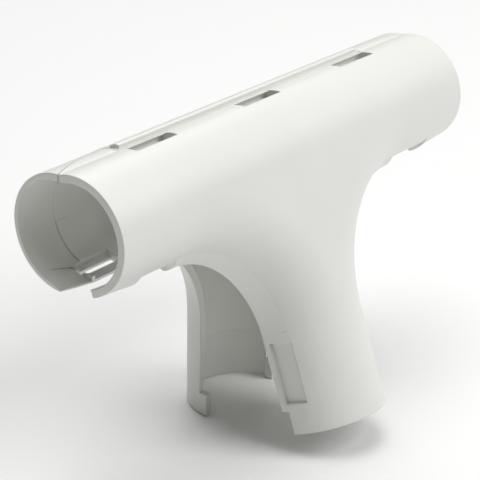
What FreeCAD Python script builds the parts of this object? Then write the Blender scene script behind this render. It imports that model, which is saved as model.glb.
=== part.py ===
import FreeCAD, Part
import math
import os

# An openable tee for round conduit, in millimetres.
# The run lies along X, the branch points down -Z, and the front of the tee faces -Y.
# Two half shells hang on one line along the top of the run.
# Everything is drawn closed first. The front shell is then swung open by open_deg.

V = FreeCAD.Vector

# driving sizes
pipe_dia = 25.0
pipe_clear = 0.1
wall = 1.9
socket_len = 21.5
branch_socket_len = 23.5
crotch_r = 28.5
open_deg = 20.0
shell_gap = 0.2

# sizes that follow from them
bore_r = pipe_dia / 2 + pipe_clear
out_r = bore_r + wall
sweep_r = crotch_r + out_r
stop_at = sweep_r + 2.0
half_run = stop_at + socket_len
branch_len = stop_at + branch_socket_len
hinge_z = out_r + 0.3
big = 4 * half_run

# sockets: a grip zone behind a wider mouth, then a small stop where the pipe ends
stop_step = 0.3
chamber_r = bore_r - stop_step
mouth_len = 11.0
branch_mouth_len = 13.0
mouth_r = bore_r + 0.8
mouth_inner_r = bore_r + 0.3
mouth_relief = 0.2
mouth_top_z = bore_r * 0.94

# parting line between the shells
branch_split_y = 2.3
tongue_y = -2.3
tongue_from_end = 8.5
tongue_tip_x = half_run - tongue_from_end
tongue_root_x = stop_at - 0.5
lip_x = sweep_r - 0.7
strip_half = stop_at + 1.0
ear_y = 4.6
ear_x = strip_half + 1.0
ear_slant_len = 11.0
seam_end_y = 0.3
ear_under_z = hinge_z * (1 - math.cos(math.radians(open_deg))) + pipe_dia / 2 + pipe_clear
nose_len = 5.9

# hinge hooks on the rear shell and their slots in the front shell
slot_len = 14.0
slot_pitch = strip_half - slot_len / 2 - 0.2
slot_near_y = -1.2
slot_far_y = -4.9
hook_len = 12.0
hook_in = 2.1
hook_out = 3.3
hook_round = 13.0
hook_end_deg = -135.0
hook_clear = 0.2

# raised strip that covers the hinge
strip_front_y = 0.6
strip_rise = 0.85
strip_mid_y = 5.2

# lower edge: end tabs, windows and snap tongues
tab_len = 9.8
tab_ramp = 1.8
tab_swell = 0.95
tab_round = 4.0
window_from_end = 8.0
window_in = stop_at + 1.5
window_out = half_run - window_from_end
window_y0 = 1.2
window_y1 = 3.1
snap_in = window_in + 1.0
snap_out = window_out - 3.5
snap_thick = 0.75
snap_bump = 0.3
snap_clear = 0.15

# finger pockets on both sides of the front half of the branch
pocket_top = sweep_r + 1.6
pocket_len = 16.0
pocket_y0 = -5.7
pocket_y1 = 0.4
pocket_deep_front = 0.6
pocket_deep_edge = 1.1


def box(x0, x1, y0, y1, z0, z1):
    return Part.makeBox(x1 - x0, y1 - y0, z1 - z0, V(x0, y0, z0))


def run_cylinder(r, x0, x1):
    return Part.makeCylinder(r, x1 - x0, V(x0, 0, 0), V(1, 0, 0))


def prism_xy(points, z0, z1):
    """A prism over a polygon drawn in plan."""
    wire = Part.makePolygon([V(x, y, z0) for x, y in points + points[:1]])
    return Part.Face(wire).extrude(V(0, 0, z1 - z0))


def both_sides(shape):
    """The shape and its mirror image across the branch."""
    return [shape, shape.mirror(V(0, 0, 0), V(1, 0, 0))]


def elbow_inside(r, side):
    """The half of a swept quarter bend that lies towards the crotch."""
    centre = V(side * sweep_r, 0, -sweep_r)
    top = centre + V(0, 0, sweep_r)
    near = V(0, r, 0)
    arc = Part.Arc(top + near, top - V(0, 0, r), top - near).toBSpline().toShape()
    chord = Part.makeLine(top - near, top + near)
    face = Part.Face(Part.Wire([arc, chord]))
    return face.revolve(centre, V(0, 1, 0), -90 * side)


def web(r):
    """The flat-faced middle between the two bends."""
    a = sweep_r
    mid = a * (1 - math.sqrt(0.5))
    left = Part.Arc(V(-a, -r, 0), V(-mid, -r, -mid), V(0, -r, -a)).toShape()
    right = Part.Arc(V(0, -r, -a), V(mid, -r, -mid), V(a, -r, 0)).toShape()
    top = Part.makeLine(V(a, -r, 0), V(-a, -r, 0))
    return Part.Face(Part.Wire([left, right, top])).extrude(V(0, 2 * r, 0))


def tee_solid(r, reach):
    """A solid swept tee of tube radius r. Its arms go on past their ends by reach."""
    a = sweep_r
    top_half = run_cylinder(r, -a, a).common(box(-a, a, -big, big, 0, big))
    parts = [top_half, web(r), elbow_inside(r, -1), elbow_inside(r, 1)]
    parts += both_sides(run_cylinder(r, a, half_run + reach))
    parts.append(Part.makeCylinder(r, branch_len + reach - a, V(0, 0, -branch_len - reach)))
    return parts[0].multiFuse(parts[1:]).removeSplitter()


def closed_wall():
    """The tee's wall as one closed tube, with stepped sockets."""
    body = tee_solid(out_r, 0).cut(tee_solid(chamber_r, 1))
    sockets = both_sides(run_cylinder(bore_r, stop_at, half_run + 1))
    sockets.append(Part.makeCylinder(bore_r, branch_len + 1 - stop_at, V(0, 0, -branch_len - 1)))
    return body.cut(sockets)


def split_bottom(shift):
    """Plan of the front shell's side of the lower parting line, moved back by shift."""
    half = [
        (half_run + 1, seam_end_y + shift),
        (half_run, seam_end_y + shift),
        (tongue_tip_x, tongue_y + shift),
        (tongue_root_x + shift, tongue_y + shift),
        (lip_x + shift, branch_split_y + shift),
    ]
    line = half + [(-x, y) for x, y in reversed(half)]
    return line + [(-half_run - 1, -big), (half_run + 1, -big)]


def split_top(shift):
    """Plan of the front shell's side of the upper parting line, moved back by shift."""
    half = [
        (half_run + 1, seam_end_y + shift),
        (half_run, seam_end_y + shift),
        (half_run - ear_slant_len, ear_y + shift),
        (ear_x - shift, ear_y + shift),
        (ear_x - shift, shift),
    ]
    line = half + [(-x, y) for x, y in reversed(half)]
    return line + [(-half_run - 1, -big), (half_run + 1, -big)]


def front_room(shift):
    """All the space on the front shell's side of the parting line."""
    nose_top = -branch_len + nose_len
    upper = prism_xy(split_top(shift), 0, big)
    middle = prism_xy(split_bottom(shift), nose_top - shift, 0)
    lower = box(-half_run - 1, half_run + 1, -big, shift, -big, nose_top - shift)
    return upper.fuse([middle, lower])


def ring_sector(r0, r1, x0, x1, y0, y1):
    """Part of a tube wall about the run, below it, between two depths."""
    ring = run_cylinder(r1, x0, x1).cut(run_cylinder(r0, x0 - 1, x1 + 1))
    return ring.common(box(x0, x1, y0, y1, -big, 0))


def hinge_ring(r0, r1, x0, x1):
    """A ring about the hinge line."""
    at = V(x0, 0, hinge_z)
    outer = Part.makeCylinder(r1, x1 - x0, at, V(1, 0, 0))
    return outer.cut(Part.makeCylinder(r0, x1 - x0, at, V(1, 0, 0)))


def hook_places():
    return [-slot_pitch, 0, slot_pitch]


def swollen(x0, x1, drop0, drop1):
    """A length of the run's lower outside, sunk by drop0 at x0 and by drop1 at x1."""
    along = V(x1 - x0, 0, drop0 - drop1)
    start = V(x0, 0, -drop0) - along
    start.z -= tab_round
    tube = Part.makeCylinder(out_r - tab_round, 3 * along.Length, start, along)
    return tube.common(box(x0, x1, -big, -shell_gap / 2, -big, 0))


def end_tab():
    """A tab at the end of the front shell's lower edge. It swells towards its inner end."""
    x0 = half_run - tab_len
    tab = swollen(x0, half_run, tab_swell, 0.1).fuse(swollen(x0 - tab_ramp, x0, 0, tab_swell))
    tab = tab.cut(run_cylinder(bore_r, x0 - tab_ramp - 1, half_run + 1))
    under = run_cylinder(out_r + snap_clear, x0 - tab_ramp - 1, half_run + 1)
    return tab.cut(under.cut(front_room(-shell_gap / 2)))


def arch_lip():
    """A thin lip that stiffens the front shell's edge round the crotch."""
    ax, az, r = sweep_r - 2.0, -sweep_r - 0.5, crotch_r - 1.5
    root_r = crotch_r + 0.9
    x_end = lip_x - shell_gap
    z_end = az + math.sqrt(r * r - (x_end - ax) ** 2)
    mid = math.sqrt(0.5)
    rx = sweep_r - root_r
    low = Part.Arc(V(x_end, 0, z_end), V(ax - r * mid, 0, az + r * mid), V(ax - r, 0, az)).toShape()
    side = Part.makeLine(V(ax - r, 0, az), V(rx, 0, -sweep_r))
    back_mid = V(sweep_r - root_r * mid, 0, -sweep_r + root_r * mid)
    z_back = -sweep_r + math.sqrt(root_r ** 2 - (x_end - sweep_r) ** 2)
    back = Part.Arc(V(rx, 0, -sweep_r), back_mid, V(x_end, 0, z_back)).toShape()
    close = Part.makeLine(V(x_end, 0, z_back), V(x_end, 0, z_end))
    face = Part.Face(Part.Wire([low, side, back, close]))
    y0, y1 = -0.7, branch_split_y - shell_gap / 2
    return face.extrude(V(0, y1 - y0, 0)).translated(V(0, y0, 0))


def snap_tongue():
    """A thin tongue that goes inside the rear shell, with a small bump for its window."""
    y_root = tongue_y - 3.5
    r1 = bore_r + snap_thick
    tongue = ring_sector(bore_r, r1, snap_in, snap_out, y_root, window_y1 - 0.3)
    bump = ring_sector(r1 - 0.2, r1 + snap_bump, snap_in, snap_out, window_y0 + 0.3, window_y1 - 0.3)
    return tongue.fuse(bump)


def ear_rebate():
    """Room under the front shell's ear for a pipe while the shell stands open."""
    return box(ear_x - 1, half_run + 1, seam_end_y, big, 0, ear_under_z)


def pocket():
    """A shallow finger pocket with a flat floor, beside the branch's parting line."""
    x_front = math.sqrt(out_r ** 2 - pocket_y0 ** 2) - pocket_deep_front
    x_edge = out_r - pocket_deep_edge
    outline = [(x_front, pocket_y0), (big, pocket_y0), (big, pocket_y1), (x_edge, pocket_y1)]
    return prism_xy(outline, -pocket_top - pocket_len, -pocket_top)


def front_closed():
    shell = closed_wall().common(front_room(-shell_gap / 2))
    shell = shell.fuse(both_sides(end_tab()) + both_sides(arch_lip()) + both_sides(snap_tongue()))
    cuts = both_sides(pocket()) + both_sides(ear_rebate())
    for x in hook_places():
        half = slot_len / 2
        cuts.append(box(x - half, x + half, slot_far_y, slot_near_y, bore_r - 4, out_r + 1))
        swing = hinge_ring(hook_in - hook_clear, hook_out + hook_clear, x - half, x + half)
        cuts.append(swing.common(box(x - half, x + half, slot_far_y, 0, 0, out_r + 1)))
    return shell.cut(cuts).removeSplitter()


def hinge_strip():
    """The raised strip along the top of the rear shell."""
    x0 = -strip_half
    foot = V(x0, strip_front_y, out_r - 0.9)
    crest = V(x0, strip_front_y, out_r + strip_rise)
    mid_z = math.sqrt((out_r + 0.85 * strip_rise) ** 2 - strip_mid_y ** 2)
    back = V(x0, 0.715 * out_r, 0.703 * out_r)
    heel = V(x0, 0.65 * out_r, 0.68 * out_r)
    top = Part.Arc(crest, V(x0, strip_mid_y, mid_z), back).toShape()
    rest = [Part.makeLine(back, heel), Part.makeLine(heel, foot), Part.makeLine(foot, crest)]
    return Part.Face(Part.Wire([top] + rest)).extrude(V(2 * strip_half, 0, 0))


def hinge_hook(x):
    """A curved hook about the hinge line, from the rear wall down and up into a slot."""
    x0 = x - hook_len / 2
    mean = (hook_in + hook_out) / 2

    def at(r, deg):
        t = math.radians(deg)
        return V(x0, r * math.cos(t), hinge_z + r * math.sin(t))

    start, end = -25, hook_end_deg
    middle = (start + end) / 2
    inner = Part.Arc(at(hook_in, start), at(hook_in, middle), at(hook_in, end)).toShape()
    tip = Part.Arc(at(hook_in, end), at(mean, end - hook_round), at(hook_out, end)).toShape()
    outer = Part.Arc(at(hook_out, end), at(hook_out, middle), at(hook_out, start)).toShape()
    root = Part.makeLine(at(hook_out, start), at(hook_in, start))
    return Part.Face(Part.Wire([inner, tip, outer, root])).extrude(V(hook_len, 0, 0))


def rear_mouths():
    """Widened mouths of the rear shell's three sockets."""
    run = Part.makeCone(mouth_inner_r, mouth_r, mouth_len, V(half_run - mouth_len, 0, 0), V(1, 0, 0))
    run = run.common(box(0, big, 0, big, -big, mouth_top_z))
    run = run.fuse(run_cylinder(bore_r + mouth_relief, half_run - mouth_len, half_run + 1))
    top = -branch_len + branch_mouth_len
    down = Part.makeCone(mouth_inner_r, mouth_r + 0.1, branch_mouth_len, V(0, 0, top), V(0, 0, -1))
    return both_sides(run) + [down.common(box(-big, big, branch_split_y, big, -big, 0))]


def rear_closed():
    shell = closed_wall().cut(front_room(shell_gap / 2))
    shell = shell.fuse([hinge_strip()] + [hinge_hook(x) for x in hook_places()])
    window = box(window_in, window_out, window_y0, window_y1, -out_r - 2, -bore_r + 3)
    seat_r = bore_r + snap_thick + snap_bump + snap_clear
    seat = ring_sector(1, seat_r, window_in, window_out - 1, tongue_y - 1, window_y1 + 1.5)
    cuts = both_sides(window) + both_sides(seat) + rear_mouths()
    return shell.cut(cuts).removeSplitter()


def save(shape, name):
    solid = shape.Solids[0] if len(shape.Solids) == 1 else shape
    solid.exportStep("parts/" + name + ".step")
    size = shape.BoundBox
    print(name, "solids", len(shape.Solids), "valid", shape.isValid(), "volume", round(shape.Volume))
    print("  x %.1f %.1f" % (size.XMin, size.XMax), "y %.1f %.1f" % (size.YMin, size.YMax))
    print("  z %.1f %.1f" % (size.ZMin, size.ZMax))


os.makedirs("parts", exist_ok=True)
front = front_closed()
rear = rear_closed()
print("overlap when closed", round(front.common(rear).Volume, 3))
front.rotate(V(0, 0, hinge_z), V(1, 0, 0), -open_deg)
save(front, "front_shell")
save(rear, "rear_shell")
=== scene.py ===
# %% [markdown]
# A swept tee for round cable conduit, half open, above a pale table.
# The tee is two hard plastic mouldings that snap together round the conduits. The model that comes with it already has
# them as solids. This lesson gives them the plastic's skin and adds what the solids lack: a rounded rim at the crotch,
# a thin bead along the hinge, two thin ears beyond the bead, finer edges, and then the light.

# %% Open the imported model
import math

import bpy
import bmesh
from mathutils import Matrix, Vector
from mathutils.bvhtree import BVHTree
from mathutils.interpolate import poly_3d_calc


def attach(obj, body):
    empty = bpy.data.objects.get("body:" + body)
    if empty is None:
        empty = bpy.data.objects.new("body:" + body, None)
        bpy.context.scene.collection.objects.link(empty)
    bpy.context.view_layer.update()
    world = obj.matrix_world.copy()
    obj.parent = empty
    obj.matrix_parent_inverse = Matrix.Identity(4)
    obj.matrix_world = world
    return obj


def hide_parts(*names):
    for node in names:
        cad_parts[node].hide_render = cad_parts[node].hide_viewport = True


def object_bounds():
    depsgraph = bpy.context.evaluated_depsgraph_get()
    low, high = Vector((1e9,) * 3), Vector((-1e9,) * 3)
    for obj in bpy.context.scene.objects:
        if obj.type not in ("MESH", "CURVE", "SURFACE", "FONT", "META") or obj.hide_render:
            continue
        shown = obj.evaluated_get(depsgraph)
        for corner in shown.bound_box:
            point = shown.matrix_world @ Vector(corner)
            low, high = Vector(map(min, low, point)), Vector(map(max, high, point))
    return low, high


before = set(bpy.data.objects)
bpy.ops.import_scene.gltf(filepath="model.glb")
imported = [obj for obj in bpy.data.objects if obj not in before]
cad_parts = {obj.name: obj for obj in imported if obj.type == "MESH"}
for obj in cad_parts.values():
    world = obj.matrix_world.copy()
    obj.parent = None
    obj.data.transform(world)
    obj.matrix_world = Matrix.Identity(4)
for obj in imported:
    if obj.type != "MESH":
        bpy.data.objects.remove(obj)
cad_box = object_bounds()
shells = [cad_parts["front_shell"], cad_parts["rear_shell"]]
print("shells:", [shell.name for shell in shells])
print("size in mm:", [round(v * 1000, 1) for v in cad_box[1] - cad_box[0]])

# %% [markdown]
# The camera. The photo looks down on the tee from the front left, and its upright lines stay parallel, as they do
# behind a strongly shifted lens. A shift would carry the tee out of every other view, so this is a plain long lens, at
# the place from which the outlines differ least. Its direction is given as a vector, which the camera's own -Z tracks.

# %% Place the camera
CAM_PLACE = Vector((-0.36797, -0.29524, 0.18658))
CAM_LOOK = Vector((0.71097, 0.57327, -0.40728))
CAM_ROLL = math.radians(0.853)
CAM_LENS = 152.83
CAM_SENSOR = 36.0
CAM_NEAR = 0.01
CAM_FAR = 20.0

cam_data = bpy.data.cameras.new("camera")
cam = bpy.data.objects.new("camera", cam_data)
bpy.context.scene.collection.objects.link(cam)
cam.location = CAM_PLACE
aim = CAM_LOOK.to_track_quat("-Z", "Y").to_matrix() @ Matrix.Rotation(CAM_ROLL, 3, "Z")
cam.rotation_euler = aim.to_euler()
cam_data.sensor_width = CAM_SENSOR
cam_data.lens = CAM_LENS
cam_data.clip_start = CAM_NEAR
cam_data.clip_end = CAM_FAR
bpy.context.scene.camera = cam
print("camera looks along", [round(v, 3) for v in CAM_LOOK])

# %% [markdown]
# The table. The photo shows only a white ground. A curved backdrop would give one too, but it stands in the way of a
# view from behind. A flat sheet, so wide that its edge is far away, serves every view from above. It lies just under
# the lowest point of the tee.

# %% Lay the table
TABLE_SIZE = 6.0
TABLE_DROP = 0.0004

mesh = bpy.data.meshes.new("table")
bm = bmesh.new()
bmesh.ops.create_grid(bm, x_segments=1, y_segments=1, size=TABLE_SIZE)
bmesh.ops.translate(bm, verts=bm.verts, vec=(0, 0, cad_box[0].z - TABLE_DROP))
bm.to_mesh(mesh)
bm.free()
table = bpy.data.objects.new("table", mesh)
bpy.context.scene.collection.objects.link(table)
print("table at", round(cad_box[0].z * 1000, 1), "mm")

# %% [markdown]
# Materials are made by two small helpers that link nodes by name, so that each recipe below reads like a list.

# %% Helpers for materials


def new_material(name):
    """A material and its shader."""
    mat = bpy.data.materials.new(name)
    mat.use_nodes = True
    return mat, mat.node_tree.nodes["Principled BSDF"]


def add(tree, kind, inputs=None, **values):
    """A node of that kind. Inputs are numbers or the sockets that feed them."""
    node = tree.nodes.new(kind)
    for key, value in values.items():
        setattr(node, key, value)
    for key, value in (inputs or {}).items():
        if isinstance(value, bpy.types.NodeSocket):
            tree.links.new(value, node.inputs[key])
        else:
            node.inputs[key].default_value = value
    return node


# %% [markdown]
# The table's paint is matt and nearly white. Pure white would glow, and a shine would mirror the tee.

# %% Paint the table
paint, shader = new_material("table_paint")
shader.inputs["Base Color"].default_value = (0.92, 0.92, 0.915, 1)
shader.inputs["Roughness"].default_value = 0.9
shader.inputs["Specular IOR Level"].default_value = 0.1
table.data.materials.append(paint)
print("painted", table.name)

# %% [markdown]
# The plastic. A light satin moulding, slightly warm, with a very fine grain from the tool. One flat colour and one
# roughness would look like paper, so a faint cloud shifts both a little. The bevel node rounds the light on each rim,
# as the tool does, without a change to the mesh.

# %% Make the shells' plastic
DULL_WHITE = (0.80, 0.805, 0.765, 1)
CLEAR_WHITE = (0.825, 0.83, 0.79, 1)

plastic, shader = new_material("white_plastic")
tree = plastic.node_tree
coord = add(tree, "ShaderNodeTexCoord").outputs["Object"]
grain = add(tree, "ShaderNodeTexNoise", {"Vector": coord, "Scale": 2600.0, "Detail": 2.0})
cloud = add(tree, "ShaderNodeTexNoise", {"Vector": coord, "Scale": 38.0, "Detail": 3.0})
tint = add(tree, "ShaderNodeValToRGB", {"Fac": cloud.outputs["Fac"]})
for stop, position, colour in zip(tint.color_ramp.elements, (0.3, 0.7), (DULL_WHITE, CLEAR_WHITE)):
    stop.position = position
    stop.color = colour
tree.links.new(tint.outputs["Color"], shader.inputs["Base Color"])
sheen = add(tree, "ShaderNodeMapRange", {"Value": cloud.outputs["Fac"], "To Min": 0.36, "To Max": 0.44})
tree.links.new(sheen.outputs["Result"], shader.inputs["Roughness"])
rims = add(tree, "ShaderNodeBevel", {"Radius": 0.00035}, samples=6)
bump = add(tree, "ShaderNodeBump", {"Height": grain.outputs["Fac"], "Strength": 0.04, "Distance": 0.0001})
tree.links.new(rims.outputs["Normal"], bump.inputs["Normal"])
tree.links.new(bump.outputs["Normal"], shader.inputs["Normal"])
shader.inputs["IOR"].default_value = 1.5
for shell in shells:
    shell.material_slots[0].material = plastic
    print(shell.name, "is", plastic.name)

# %% [markdown]
# The rims of the crotch. On the real front shell the edge swells into a rounded rim where the run bends down into the
# branch, and the rim dies away towards the branch. A tube along a curve would be as thick at its end as at its start.
# Here a cross-section of the rim is spun round the bend, and each point is then let down towards the shell's skin.
# Sizes are written in millimetres from here on, and MM turns them into Blender's metres.

# %% The sizes that the rims follow
MM = 0.001
QUARTER = math.radians(90)
BEND = 43.0 * MM
SHELL_RADIUS = 14.5 * MM
HINGE = Vector((0, 0, 14.8 * MM))
OPEN_ANGLE = math.radians(-20)
OPENED = Matrix.Translation(HINGE) @ Matrix.Rotation(OPEN_ANGLE, 4, "X") @ Matrix.Translation(-HINGE)
RIM_SECTION = [
    (-5.4, 0), (-4.9, 0.2), (-4.3, 0.45), (-3.7, 0.67), (-3.1, 0.83), (-2.4, 0.94), (-1.6, 1.0),
    (-0.8, 1.0), (0.1, 0.95), (0.9, 0.84), (1.6, 0.66), (2.15, 0.4), (2.15, -0.6), (-5.4, -0.6),
]
RIM_HEIGHT = 1.45
RIM_STEPS = 44
RIM_START = 43.3
RIM_SLANT = 0.478
RIM_SLANT_X = 44.35
RIM_SLANT_Y = -2.3


def skin(y):
    """How far the shell's outside is from the middle of the bend, at a depth y."""
    return BEND - math.sqrt(SHELL_RADIUS ** 2 - y ** 2)


print("the rims stand", RIM_HEIGHT, "mm proud at the run")

# %% Helpers for outlines and pieces
SHARP_ANGLE = 32


def add_outline(bm, corners):
    """A closed outline of straight edges, as its corners and its edges."""
    verts = [bm.verts.new(corner) for corner in corners]
    return verts, [bm.edges.new((a, b)) for a, b in zip(verts, verts[1:] + verts[:1])]


def only_verts(geom):
    """The corners among what an operator made."""
    return [v for v in geom if isinstance(v, bmesh.types.BMVert)]


def add_mirror_image(bm):
    """The same again on the other side of the middle, with every face turned outwards."""
    bmesh.ops.mirror(bm, geom=bm.verts[:] + bm.edges[:] + bm.faces[:], axis="X", merge_dist=0.0)
    bmesh.ops.recalc_face_normals(bm, faces=bm.faces[:])


def new_piece(name, bm, body):
    """A plastic piece that rides on a body."""
    mesh = bpy.data.meshes.new(name)
    bm.to_mesh(mesh)
    bm.free()
    mesh.materials.clear()
    mesh.materials.append(plastic)
    mesh.shade_smooth()
    mesh.set_sharp_from_angle(angle=math.radians(SHARP_ANGLE))
    piece = bpy.data.objects.new(name, mesh)
    bpy.context.scene.collection.objects.link(piece)
    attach(piece, body)
    print(name, "has", len(mesh.polygons), "faces")
    return piece


# %% Spin the rims of the crotch
bm = bmesh.new()
ring, edges = add_outline(bm, [(BEND, y * MM, skin(y * MM) - proud * MM - BEND) for y, proud in RIM_SECTION])
bmesh.ops.spin(bm, geom=ring + edges, cent=(BEND, 0, -BEND), axis=(0, 1, 0), angle=-QUARTER, steps=RIM_STEPS)
for v in bm.verts:
    out, up = v.co.x - BEND, v.co.z + BEND
    radius = math.hypot(out, up)
    share = (math.atan2(up, out) - QUARTER) / QUARTER
    proud = skin(v.co.y) - radius
    if proud > 0:
        radius = skin(v.co.y) - proud * RIM_HEIGHT * math.cos(share * QUARTER)
    start_x = min(RIM_START, RIM_SLANT_X - (v.co.y / MM - RIM_SLANT_Y) * RIM_SLANT) * MM
    first = math.acos((start_x - BEND) / radius)
    turn = first + (math.pi - first) * share
    v.co.x = BEND + radius * math.cos(turn)
    v.co.z = radius * math.sin(turn) - BEND
bmesh.ops.holes_fill(bm, edges=bm.edges[:], sides=0)
bmesh.ops.triangulate(bm, faces=[f for f in bm.faces if len(f.verts) > 4])
add_mirror_image(bm)
bmesh.ops.transform(bm, matrix=OPENED, verts=bm.verts[:])
new_piece("crotch_rims", bm, "front")

# %% [markdown]
# The two shells, finished by cutting. Modelling them again would be slow, and a bevel on the whole mesh would soften
# edges that are crisp. So a copy of each shell goes through one Boolean with all its cutters at once, and takes the
# model's place. Old faces keep their own smooth shading, because a fresh angle limit would break it up.

# %% Helpers for cutters
ARC_STEPS = 36
CIRCLE_STEPS = 72


def add_box(bm, low, high):
    """A box between two corners, in millimetres."""
    low, high = Vector(low) * MM, Vector(high) * MM
    verts = bmesh.ops.create_cube(bm, size=1.0)["verts"]
    bmesh.ops.scale(bm, vec=high - low, verts=verts)
    bmesh.ops.translate(bm, vec=(low + high) / 2, verts=verts)


def add_ring(bm, corners, centre, axis, degrees):
    """A closed block, made by spinning a flat outline about an axis."""
    ring, edges = add_outline(bm, corners)
    full = abs(degrees) == 360
    made = bmesh.ops.spin(
        bm, geom=ring + edges, cent=centre, axis=axis, angle=math.radians(degrees),
        steps=CIRCLE_STEPS if full else ARC_STEPS, use_merge=full,
    )
    if not full:
        bm.faces.new(ring)
        bm.faces.new(only_verts(made["geom_last"]))


def add_cone(bm, section, first, degrees):
    """A cutter inside the run that turns a small step of the bore into a slope, at both ends."""
    for side in (-1, 1):
        corners = [first @ Vector((side * x, 0, r)) * MM for x, r in section]
        add_ring(bm, corners, (0, 0, 0), (1, 0, 0), degrees)


# %% Helpers for the cut itself
SAME_POINT = 1e-6
SAME_PLACE = 2e-6
SAME_WAY = 0.99
SOUND_BLEND = 0.5


def copy_shading(piece, source):
    """Give each face that lies on the source the source's own normals. New faces are shaded flat."""
    mesh = piece.data
    places = [v.co.copy() for v in source.vertices]
    source.calc_loop_triangles()
    triangles = [tuple(tri.vertices) for tri in source.loop_triangles]
    shading = [[Vector(n) for n in tri.split_normals] for tri in source.loop_triangles]
    finder = BVHTree.FromPolygons(places, triangles)
    normals = [None] * len(mesh.loops)
    fresh = 0
    for face in mesh.polygons:
        _, normal, index, gap = finder.find_nearest(face.center)
        is_old = gap < SAME_PLACE and normal.dot(face.normal) > SAME_WAY
        fresh += not is_old
        for loop in face.loop_indices:
            if not is_old:
                normals[loop] = face.normal
                continue
            corners = [places[i] for i in triangles[index]]
            shares = poly_3d_calc(corners, mesh.vertices[mesh.loops[loop].vertex_index].co)
            blend = sum((n * share for n, share in zip(shading[index], shares)), Vector())
            normals[loop] = blend.normalized() if blend.length > SOUND_BLEND else face.normal
    mesh.normals_split_custom_set(normals)
    print(piece.name, "keeps the shading of", len(mesh.polygons) - fresh, "faces and has", fresh, "new ones")


def carve(node, name, body, bm_cutters):
    """A copy of a shell with the cutters taken out of it, in place of the shell."""
    bmesh.ops.recalc_face_normals(bm_cutters, faces=bm_cutters.faces[:])
    bm_copy = bmesh.new()
    bm_copy.from_mesh(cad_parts[node].data)
    bmesh.ops.remove_doubles(bm_copy, verts=bm_copy.verts[:], dist=SAME_POINT)
    blocks = []
    for part in (bm_copy, bm_cutters):
        mesh = bpy.data.meshes.new("block")
        part.to_mesh(mesh)
        part.free()
        blocks.append(bpy.data.objects.new("block", mesh))
        bpy.context.scene.collection.objects.link(blocks[-1])
    cut = blocks[0].modifiers.new("cut", "BOOLEAN")
    cut.operation = "DIFFERENCE"
    cut.solver = "EXACT"
    cut.use_self = True
    cut.object = blocks[1]
    carved = blocks[0].evaluated_get(bpy.context.evaluated_depsgraph_get())
    bm = bmesh.new()
    bm.from_mesh(carved.to_mesh())
    carved.to_mesh_clear()
    for block in blocks:
        bpy.data.objects.remove(block)
    print("open edges on", name, len([e for e in bm.edges if not e.is_manifold]))
    piece = new_piece(name, bm, body)
    copy_shading(piece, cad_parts[node].data)
    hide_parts(node)


# %% [markdown]
# The front shell's cuts. On the real shell the lip of the crotch ends where the rounded rim does, each hinge slot runs
# in under the skin and so looks dark, and the stop for the conduit is a slope. A spun block takes the lip's corner
# off, a box empties each slot, and a spun wedge slopes the stop. They are laid out on the closed shell, then turned.

# %% Cut the front shell
LIP_CUT = (24.0, 28.47)
LIP_CUT_Y = (-0.76, 2.4)
LIP_CUT_FROM = 4
LIP_CUT_TURN = 96
SLOT_MIDDLES = (-38.8, 0.0, 38.8)
SLOT_HALF = 7.0
SLOT_Y = (-1.25, 0.2)
SLOT_Z = (11, 14.15)
STOP_SLOPE = [(45.02, 11.0), (45.02, 12.6), (38.5, 12.29), (38.5, 11.0)]

bm = bmesh.new()
for side in (-1, 1):
    first = Matrix.Rotation(math.radians(LIP_CUT_FROM * side), 3, "Y")
    centre = Vector((side * BEND, 0, -BEND))
    low, high = LIP_CUT
    front_y, back_y = LIP_CUT_Y
    outline = [(front_y, low), (back_y, low), (back_y, high), (front_y, high)]
    corners = [centre + first @ Vector((0, y * MM, r * MM)) for y, r in outline]
    add_ring(bm, corners, centre, (0, 1, 0), -LIP_CUT_TURN * side)
for x in SLOT_MIDDLES:
    add_box(bm, (x - SLOT_HALF, SLOT_Y[0], SLOT_Z[0]), (x + SLOT_HALF, SLOT_Y[1], SLOT_Z[1]))
add_cone(bm, STOP_SLOPE, Matrix.Identity(3), 360)
bmesh.ops.transform(bm, matrix=OPENED, verts=bm.verts[:])
carve("front_shell", "front_shell_skin", "front", bm)

# %% [markdown]
# The rear shell's cuts. The real one has a narrow bead where the model has a broad raised strip, shorter hooks, sloped
# stops and mouths, and a lower edge that thins out towards its ends. A spun block takes the strip off, a box the hook
# tips, spun wedges slope the steps, and a wedge at each end, the hull of two triangles, thins the edge.

# %% Cut the rear shell
STRIP_CUT = (14.53, 17.0)
STRIP_CUT_FROM = 2.3
STRIP_CUT_TURN = 49.7
STRIP_CUT_END = 46.6
HOOK_TIPS = ((-50, -7, 10), (50, -1.3, 14.6))
MOUTH_SLOPE_FROM = 2
MOUTH_SLOPE_TURN = 110
MOUTH_SLOPE = [(55.55, 11.0), (55.55, 12.8), (49.0, 12.59), (49.0, 11.0)]
EDGE_OUTER = [(66.6, -0.2, -14.25), (66.6, 7.3, -11.24), (66.6, -0.2, -7.5)]
EDGE_INNER = [(58.4, -2.8, -14.06), (58.4, 4.7, -12.55), (58.4, -2.8, -7.5)]

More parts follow.
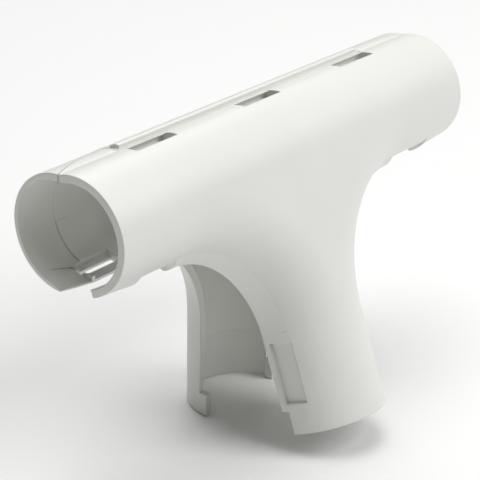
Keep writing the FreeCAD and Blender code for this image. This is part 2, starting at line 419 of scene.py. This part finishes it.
bm = bmesh.new()
first = Matrix.Rotation(math.radians(-STRIP_CUT_FROM), 3, "X")
low, high = STRIP_CUT
outline = [(-STRIP_CUT_END, low), (STRIP_CUT_END, low), (STRIP_CUT_END, high), (-STRIP_CUT_END, high)]
corners = [first @ Vector((x * MM, 0, r * MM)) for x, r in outline]
add_ring(bm, corners, (0, 0, 0), (1, 0, 0), -STRIP_CUT_TURN)
add_box(bm, *HOOK_TIPS)
add_cone(bm, STOP_SLOPE, Matrix.Identity(3), 360)
add_cone(bm, MOUTH_SLOPE, Matrix.Rotation(math.radians(MOUTH_SLOPE_FROM), 3, "X"), -MOUTH_SLOPE_TURN)
for side in (-1, 1):
    wedge = [bm.verts.new(Vector((side * x, y, z)) * MM) for x, y, z in EDGE_OUTER + EDGE_INNER]
    bmesh.ops.convex_hull(bm, input=wedge)
carve("rear_shell", "rear_shell_skin", "rear", bm)

# %% [markdown]
# The hinge bead lies along the top of the rear shell, where the cut took the broader strip away. A curve with a bevel
# would be round. This bead has a steep front and a long back, so its cross-section, the same all along, is extruded.

# %% Extrude the hinge bead
BEAD_SECTION = [
    (0.5, 13.9), (0.5, 15.28), (0.8, 15.42), (1.4, 15.5), (2.0, 15.46), (2.6, 15.3),
    (3.1, 15.06), (3.4, 14.78), (3.5, 14.5), (3.5, 13.9),
]
BEAD_END = 46.1

bm = bmesh.new()
outline = [bm.verts.new((-BEAD_END * MM, y * MM, math.sqrt(r * r - y * y) * MM)) for y, r in BEAD_SECTION]
bm.faces.new(outline)
grown = bmesh.ops.extrude_face_region(bm, geom=bm.faces[:])["geom"]
bmesh.ops.translate(bm, vec=(2 * BEAD_END * MM, 0, 0), verts=only_verts(grown))
bmesh.ops.recalc_face_normals(bm, faces=bm.faces[:])
new_piece("hinge_bead", bm, "rear")

# %% [markdown]
# The ears. Beyond the ends of the bead the front shell reaches over the top in two thin ears, which lie level with the
# rear shell while the fitting stands open. Each is a patch of the tube's skin with one slanted side, so a small grid
# is laid out flat and bent round the run. Its underside lies on the front shell, which is turned about the hinge.

# %% Bend the ears round the run
EAR_ROOT_X = 47.1
EAR_END_X = 66.5
EAR_Y = (-0.1, 4.5)
EAR_SLANT_Y = 0.25
EAR_SLANT = 11.0
EAR_ROWS = 8
EAR_SUNK = 0.1

bm = bmesh.new()
bmesh.ops.create_grid(bm, x_segments=1, y_segments=EAR_ROWS, size=1.0)
for v in bm.verts:
    y = EAR_Y[0] + (EAR_Y[1] - EAR_Y[0]) * (v.co.y + 1) / 2
    end_x = EAR_END_X - EAR_SLANT * max(y - EAR_SLANT_Y, 0) / (EAR_Y[1] - EAR_SLANT_Y)
    x = EAR_ROOT_X if v.co.x < 0 else end_x
    v.co = Vector((x * MM, y * MM, math.sqrt(SHELL_RADIUS ** 2 - (y * MM) ** 2)))
grown = bmesh.ops.extrude_face_region(bm, geom=bm.faces[:])["geom"]
for v in only_verts(grown):
    v.co.z -= EAR_SUNK * MM
    v.co = OPENED @ v.co
add_mirror_image(bm)
new_piece("ears", bm, "front")

# %% [markdown]
# The light is a studio's. A wide softbox hangs straight overhead, one stands in front and to the right, and a weak
# one behind keeps the far side from going dark. A faint pale room fills what is left. A single lamp would throw hard
# shadows into the crotch. The plain view transform keeps white plastic white, where the default greys it.

# %% Light the scene
ROOM_COLOUR = (1, 1, 1, 1)
ROOM_GLOW = 0.06


def softbox(name, place, size, power):
    """A square area light that faces the tee."""
    data = bpy.data.lights.new(name, "AREA")
    data.shape = "SQUARE"
    data.size = size
    data.energy = power
    lamp = bpy.data.objects.new(name, data)
    lamp.location = place
    lamp.rotation_euler = (-Vector(place)).to_track_quat("-Z", "Y").to_euler()
    bpy.context.scene.collection.objects.link(lamp)


softbox("softbox_top", place=(0.05, 0.1, 1.1), size=0.9, power=8.6)
softbox("softbox_front", place=(0.35, -0.8, 0.85), size=0.7, power=8.4)
softbox("softbox_back", place=(0.6, 0.7, 0.8), size=0.7, power=3.2)
world = bpy.data.worlds.new("room")
world.use_nodes = True
world.node_tree.nodes["Background"].inputs["Color"].default_value = ROOM_COLOUR
world.node_tree.nodes["Background"].inputs["Strength"].default_value = ROOM_GLOW
bpy.context.scene.world = world
bpy.context.scene.view_settings.view_transform = "Standard"
